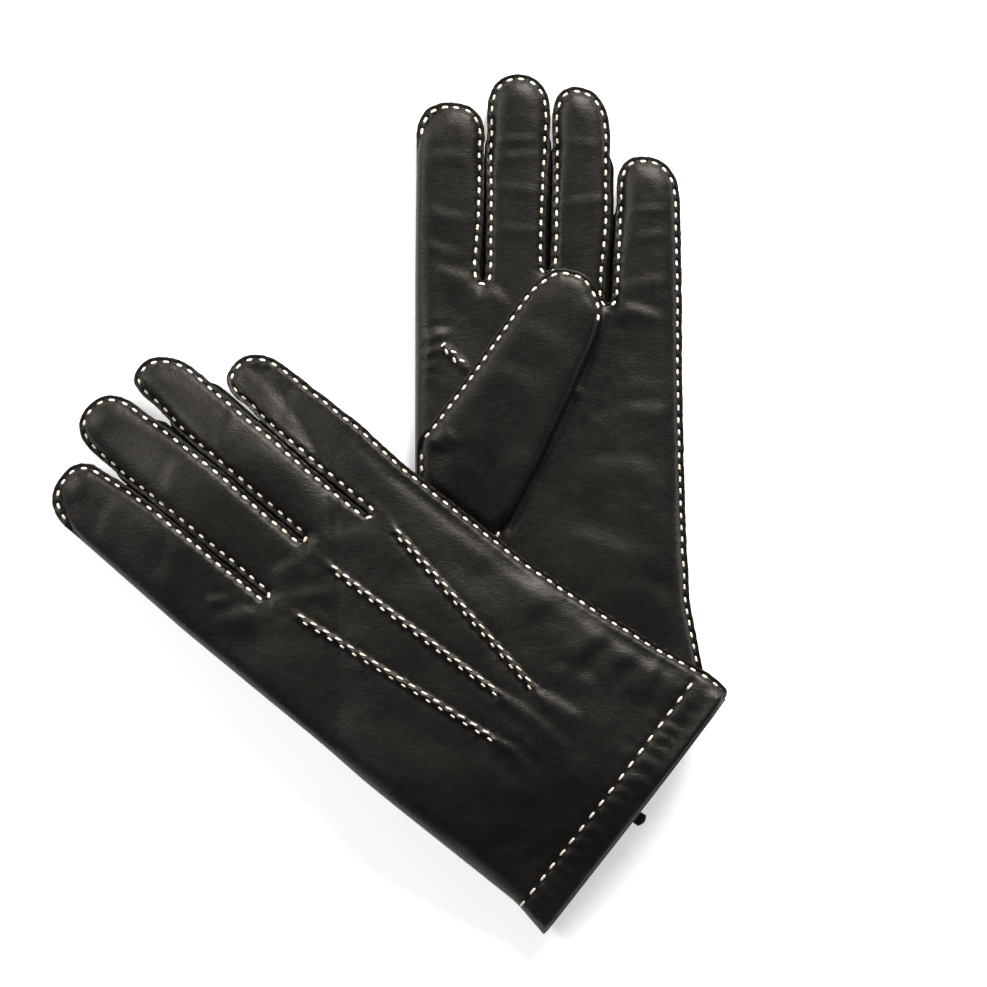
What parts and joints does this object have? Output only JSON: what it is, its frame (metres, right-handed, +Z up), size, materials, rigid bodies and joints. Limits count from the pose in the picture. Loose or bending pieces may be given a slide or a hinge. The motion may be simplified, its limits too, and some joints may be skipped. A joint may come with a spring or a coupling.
{
  "type": "pair of gloves",
  "caption": "Pair of hand-sewn leather dress gloves laid crosswise, one palm up and one palm down, with hinged fingers and thumbs and a hollow lined inside.",
  "frame": {"origin": "middle of the base of the pair's bounding box, on the table under the gloves", "axes": "+Z up from the table, +Y along the palm-up left glove from cuff to fingertips, +X from its forefinger side to its little-finger side"},
  "size_m": [0.2472, 0.3144, 0.03],
  "materials": {
    "black_nappa": "soft satin",
    "grey_knit": "matt knit",
    "cream_thread": "matt waxed thread"
  },
  "bodies": {
    "left_index": {"left_index_fourchette_by_middle": "black_nappa", "left_index_lining": "grey_knit", "left_index_seam_thread": "cream_thread", "left_index_stall": "black_nappa"},
    "left_middle": {"left_middle_fourchette_by_index": "black_nappa", "left_middle_fourchette_by_ring": "black_nappa", "left_middle_lining": "grey_knit", "left_middle_seam_thread": "cream_thread", "left_middle_stall": "black_nappa"},
    "left_ring": {"left_ring_fourchette_by_little": "black_nappa", "left_ring_fourchette_by_middle": "black_nappa", "left_ring_lining": "grey_knit", "left_ring_seam_thread": "cream_thread", "left_ring_stall": "black_nappa"},
    "left_little": {"left_little_fourchette_by_ring": "black_nappa", "left_little_lining": "grey_knit", "left_little_seam_thread": "cream_thread", "left_little_stall": "black_nappa"},
    "left_thumb": {"left_thumb_lining": "grey_knit", "left_thumb_seam_thread": "cream_thread", "left_thumb_stall": "black_nappa"},
    "left_hand": {"left_hand_lining": "grey_knit", "left_hem_thread": "cream_thread", "left_hem_turn_in": "black_nappa", "left_point_1_thread": "cream_thread", "left_point_2_thread": "cream_thread", "left_point_3_thread": "cream_thread", "left_side_seam_thread": "cream_thread", "left_trank": "black_nappa", "left_vent_binding": "black_nappa"},
    "right_index": {"right_index_fourchette_by_middle": "black_nappa", "right_index_lining": "grey_knit", "right_index_seam_thread": "cream_thread", "right_index_stall": "black_nappa"},
    "right_middle": {"right_middle_fourchette_by_index": "black_nappa", "right_middle_fourchette_by_ring": "black_nappa", "right_middle_lining": "grey_knit", "right_middle_seam_thread": "cream_thread", "right_middle_stall": "black_nappa"},
    "right_ring": {"right_ring_fourchette_by_little": "black_nappa", "right_ring_fourchette_by_middle": "black_nappa", "right_ring_lining": "grey_knit", "right_ring_seam_thread": "cream_thread", "right_ring_stall": "black_nappa"},
    "right_little": {"right_little_fourchette_by_ring": "black_nappa", "right_little_lining": "grey_knit", "right_little_seam_thread": "cream_thread", "right_little_stall": "black_nappa"},
    "right_thumb": {"right_thumb_lining": "grey_knit", "right_thumb_seam_thread": "cream_thread", "right_thumb_stall": "black_nappa"},
    "right_hand": {"right_hand_lining": "grey_knit", "right_hem_thread": "cream_thread", "right_hem_turn_in": "black_nappa", "right_point_1_thread": "cream_thread", "right_point_2_thread": "cream_thread", "right_point_3_thread": "cream_thread", "right_side_seam_thread": "cream_thread", "right_trank": "black_nappa", "right_vent_binding": "black_nappa"}
  },
  "joints": [
    {"name": "right_glove_lift", "type": "slide", "parent": "left_hand", "child": "right_hand", "axis": [0, 0, 1], "range_m": [0, 0.12]},
    {"name": "left_index_curl", "type": "hinge", "parent": "left_hand", "child": "left_index", "pos_m": [0.02171, 0.08555, 0.011], "axis": [1, -0.0079, 0], "range_deg": [0, 75]},
    {"name": "left_middle_curl", "type": "hinge", "parent": "left_hand", "child": "left_middle", "pos_m": [0.04641, 0.08905, 0.011], "axis": [1, -0.01, 0], "range_deg": [0, 75]},
    {"name": "left_ring_curl", "type": "hinge", "parent": "left_hand", "child": "left_ring", "pos_m": [0.06911, 0.08905, 0.011], "axis": [0.9999, -0.0123, 0], "range_deg": [0, 75]},
    {"name": "left_little_curl", "type": "hinge", "parent": "left_hand", "child": "left_little", "pos_m": [0.09436, 0.07805, 0.011], "axis": [0.9999, -0.0129, 0], "range_deg": [0, 75]},
    {"name": "left_thumb_open", "type": "hinge", "parent": "left_hand", "child": "left_thumb", "pos_m": [0.02631, 0.00795, 0.0234], "axis": [0.873, -0.4878, 0], "range_deg": [0, 65]},
    {"name": "right_index_lift", "type": "hinge", "parent": "right_hand", "child": "right_index", "pos_m": [-0.06734, -0.03389, 0.02039], "axis": [0.6272, 0.7788, 0], "range_deg": [0, 50]},
    {"name": "right_middle_lift", "type": "hinge", "parent": "right_hand", "child": "right_middle", "pos_m": [-0.05312, -0.00934, 0.0222], "axis": [0.618, 0.7862, 0], "range_deg": [0, 50]},
    {"name": "right_ring_lift", "type": "hinge", "parent": "right_hand", "child": "right_ring", "pos_m": [-0.03832, 0.01019, 0.0222], "axis": [0.6366, 0.7712, 0], "range_deg": [0, 50]},
    {"name": "right_little_lift", "type": "hinge", "parent": "right_hand", "child": "right_little", "pos_m": [-0.016, 0.02143, 0.02295], "axis": [0.6095, 0.7928, 0], "range_deg": [0, 50]},
    {"name": "right_thumb_open", "type": "hinge", "parent": "right_hand", "child": "right_thumb", "pos_m": [-0.00919, -0.07902, 0.003], "axis": [-0.8873, -0.4613, 0], "range_deg": [0, 50]}
  ]
}
